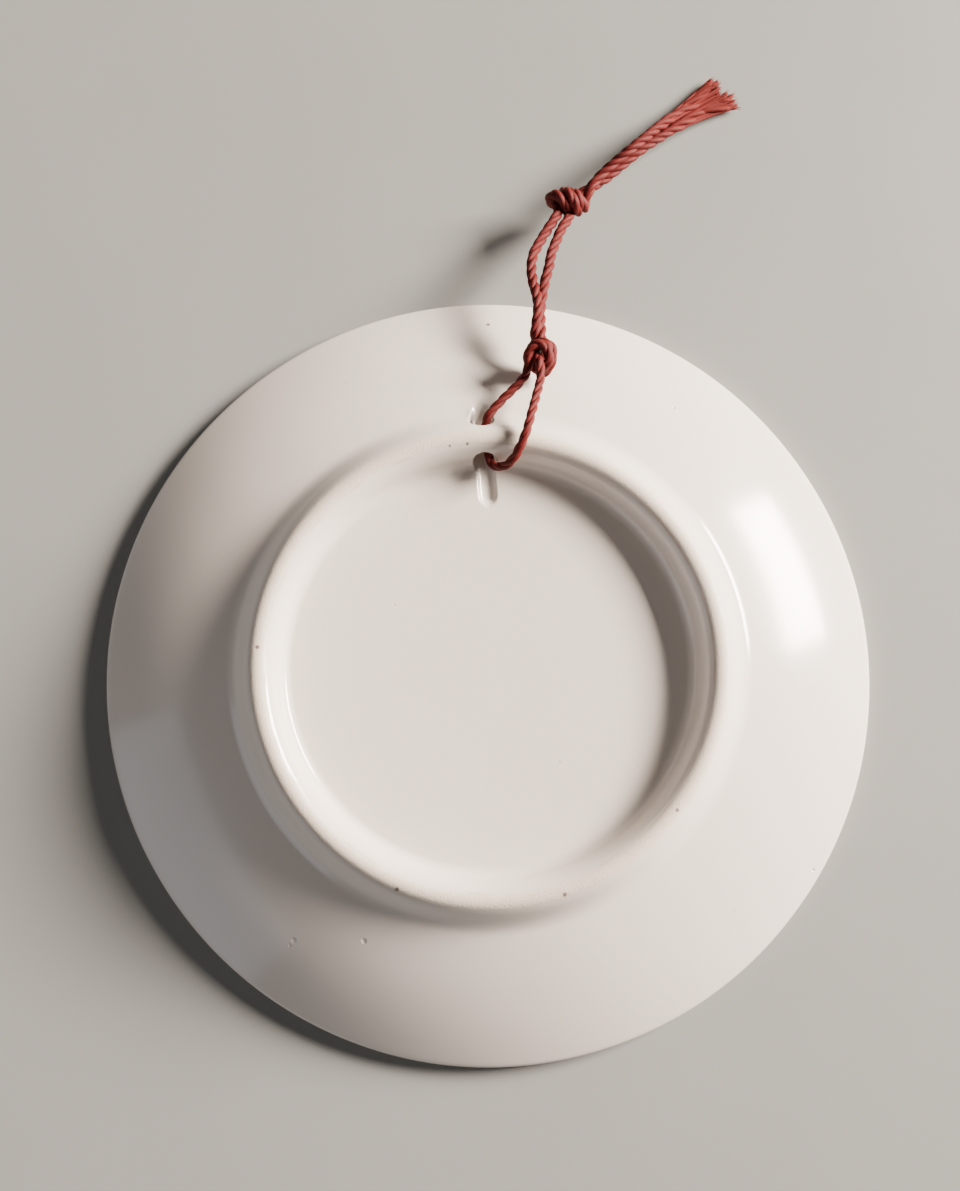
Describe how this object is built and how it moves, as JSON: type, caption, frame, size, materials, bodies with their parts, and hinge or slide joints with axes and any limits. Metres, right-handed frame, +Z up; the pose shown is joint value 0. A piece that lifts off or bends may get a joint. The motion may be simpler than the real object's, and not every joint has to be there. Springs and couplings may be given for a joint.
{
  "type": "souvenir plate",
  "caption": "Round glazed wall plate lying face down, with a drilled foot ring and a knotted hanging cord threaded through it.",
  "frame": {"origin": "centre of the circle that the rim's lip rests on, with the plate lying face down", "axes": "+Z up out of the plate's back, through the foot ring; +Y towards the hanging hole, which is the top edge when the plate hangs"},
  "size_m": [0.11, 0.1454, 0.0181],
  "materials": {
    "glaze": "gloss",
    "cord": "satin"
  },
  "bodies": {
    "plate": {"plate": "glaze", "cord_through_foot": "cord"},
    "cord": {"lower_knot": "cord", "loop_strand_left": "cord", "loop_strand_right": "cord", "upper_knot": "cord", "tail_strand_left": "cord", "tail_strand_right": "cord"}
  },
  "joints": [
    {"name": "cord_swing", "type": "hinge", "parent": "plate", "child": "cord", "pos_m": [0, 0.0315, 0.0135], "axis": [1, 0, 0], "range_deg": [0, 172], "deforming": ["cord_through_foot"]}
  ]
}
